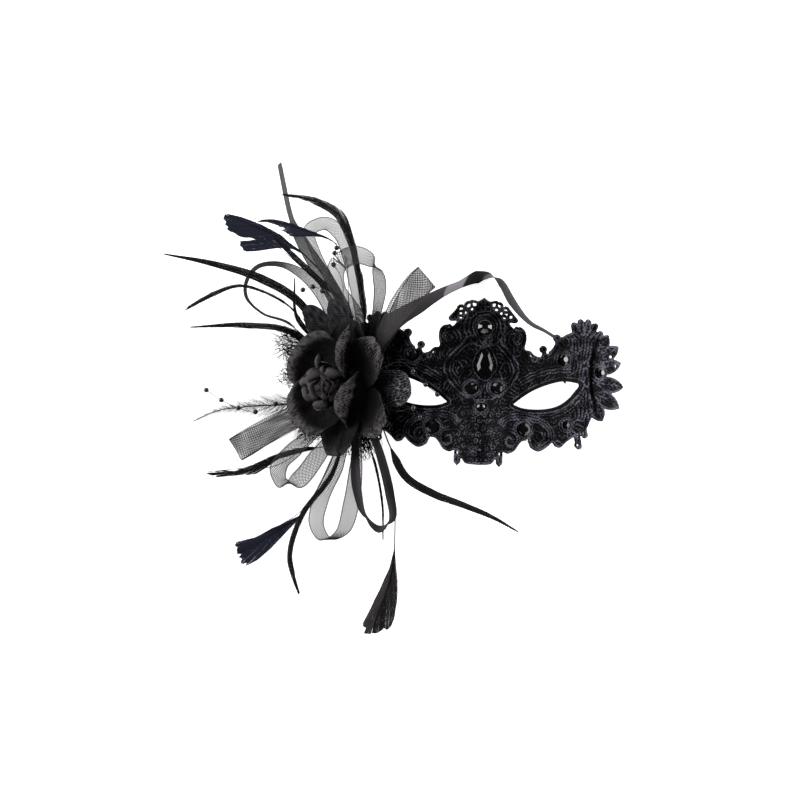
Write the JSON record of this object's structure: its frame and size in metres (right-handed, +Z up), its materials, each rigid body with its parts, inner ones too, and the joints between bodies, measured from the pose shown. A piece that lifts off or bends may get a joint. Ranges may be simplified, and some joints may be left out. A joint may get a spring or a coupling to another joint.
{
  "type": "lace masquerade mask",
  "caption": "Black lace eye mask with a temple corsage: fabric rose, crin braid loops, feathers, bead sprays, faceted gems and a satin tie.",
  "frame": {"origin": "on the table under the middle of the whole piece, its loose tie left out, as it lies face up", "axes": "+Z up out of the mask's face, +X to the viewer's right along the eyes, +Y towards the crown"},
  "size_m": [0.2756, 0.283, 0.0632],
  "materials": {
    "lace": "matte",
    "gem": "gloss",
    "bead": "gloss",
    "felt": "matte",
    "petal": "matte",
    "bud": "satin",
    "net": "matte",
    "crin": "satin",
    "satin": "satin",
    "feather": "satin"
  },
  "bodies": {
    "root": {"lace_mask": "lace", "gem_top": "gem", "gem_teardrop": "gem", "gem_pair_left": "gem", "gem_pair_right": "gem", "gem_nose": "gem", "gem_cheek_left": "gem", "gem_cheek_right": "gem", "gem_brow_left": "gem", "gem_brow_right": "gem", "gem_side_right": "gem", "gem_lower_right": "gem", "felt_base": "felt", "petal_outer_right_up": "petal", "petal_outer_top": "petal", "petal_outer_left": "petal", "petal_outer_low_left": "petal", "petal_outer_low": "petal", "petal_outer_right_low": "petal", "petal_cup_right_up": "petal", "petal_cup_left_up": "petal", "petal_cup_left_low": "petal", "petal_cup_right_low": "petal", "petal_inner_up": "petal", "petal_inner_low": "petal", "rose_bud": "bud", "leaf_net_up_left": "net", "leaf_net_up": "net", "leaf_net_left": "net", "leaf_speckled_right": "net", "crin_loop_left": "crin", "crin_strip_tall": "crin", "crin_loop_up": "crin", "crin_loop_middle": "crin", "crin_loop_boxy_right": "crin", "crin_loop_boxy_left": "crin", "crin_loop_low_left": "crin", "crin_loop_low": "crin", "satin_loop_dark": "satin", "feather_blade_left": "feather", "feather_curved_left": "feather", "feather_wisp_left": "feather", "feather_paddle_tall": "feather", "feather_paddle_small": "feather", "feather_crook_up": "feather", "feather_spike": "feather", "feather_brush_low_left": "feather", "feather_paddle_low_left": "feather", "feather_crook_low": "feather", "feather_paddle_low": "feather", "feather_sickle_right": "feather", "feather_fluffy_left": "feather", "feather_strip_low": "feather", "bead_spray_up": "bead", "bead_spray_up_left": "bead", "bead_spray_left": "bead", "bead_spray_right_up": "bead", "bead_spray_right_low": "bead", "ribbon_tie": "satin"}
  },
  "joints": []
}
